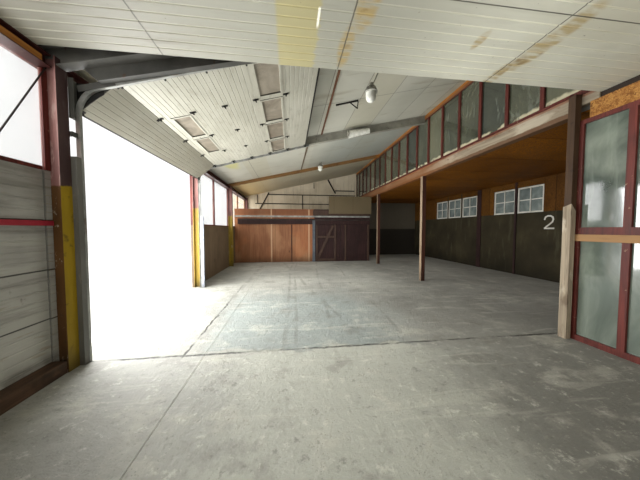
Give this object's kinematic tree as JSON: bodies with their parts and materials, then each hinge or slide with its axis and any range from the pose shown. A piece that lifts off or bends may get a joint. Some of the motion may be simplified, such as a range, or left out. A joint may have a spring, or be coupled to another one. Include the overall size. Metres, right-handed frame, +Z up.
{
  "type": "factory workshop hall",
  "caption": "Single-slope workshop hall with a raised sectional door, a low ribbed ceiling, high side glazing and a flat-roofed annex.",
  "frame": {"origin": "on the ground, at the middle of the building's outer box", "axes": "+X from the low wall with the door to the annex, +Y along the building from the front wall to the rear wall, +Z up"},
  "size_m": [11.25, 19.82, 5.3982],
  "materials": {
    "concrete": "worn and dusty grey concrete",
    "column_paint": "red-brown paint with a worn yellow foot",
    "eave_steel": "dark paint, worn",
    "wall_panel": "grey ribbed sheet, streaked",
    "rough_timber": "rough sawn and dirty",
    "dark_board": "dark stained boards",
    "red_timber": "red-brown paint",
    "clear_glass": "dusty",
    "grey_glass": "dusty",
    "galvanised": "dull galvanised",
    "guard_paint": "dark grey paint, scuffed",
    "door_paint": "off-white ribbed sheet",
    "door_pane": "clouded",
    "black_steel": "black, greasy",
    "roof_panel": "off-white sheet, stained",
    "rafter_paint": "grey paint",
    "orange_timber": "planed softwood gone orange",
    "ceiling_panel": "off-white ribbed sheet, water-stained",
    "post_timber": "dark, worn pale at the foot",
    "beam_paint": "grey-beige paint",
    "annex_board": "orange-brown chipboard",
    "roof_felt": "grey felt",
    "annex_wall": "dark olive-grey render",
    "white_frame": "off-white, dusty",
    "end_panel": "pale ribbed sheet",
    "dark_rail": "dark paint",
    "plywood": "orange-brown plywood",
    "dark_wood": "dark stained",
    "lamp_enamel": "dusty enamel"
  },
  "bodies": {
    "root": {"floor_slab": "concrete", "wall_columns": "column_paint", "eave_beam": "eave_steel", "front_wall_panels": "wall_panel", "front_kerb": "rough_timber", "rear_wall_panels": "dark_board", "low_wall_fascia": "eave_steel", "low_window_frames": "red_timber", "low_window_glass": "clear_glass", "brace_rods": "dark_rail", "guide_guards": "guard_paint", "door_tracks": "galvanised", "door_track_bends": "galvanised", "track_hangers": "galvanised", "door_panel_1": "door_paint", "door_panel_2": "door_paint", "door_panel_3": "door_paint", "door_panel_4": "door_paint", "door_panel_5": "door_paint", "door_panel_6": "door_paint", "door_panes": "door_pane", "door_hinges": "black_steel", "roof_panels": "roof_panel", "steel_rafters": "rafter_paint", "timber_beams": "orange_timber", "ceiling_panels": "ceiling_panel", "ceiling_joists": "rough_timber", "hall_posts": "post_timber", "glazing_beam": "beam_paint", "high_window_frames": "red_timber", "high_window_glass": "grey_glass", "screen_frames": "red_timber", "screen_glass": "grey_glass", "annex_ceiling": "annex_board", "annex_roof": "roof_felt", "annex_wall": "annex_wall", "annex_window_frames": "white_frame", "annex_window_glass": "clear_glass", "front_end_wall": "end_panel", "rear_end_wall": "end_panel", "end_wall_rails": "dark_rail", "plywood_partition": "plywood", "dark_partition": "dark_wood", "partition_rail": "galvanised", "lamps": "lamp_enamel"}
  },
  "joints": []
}
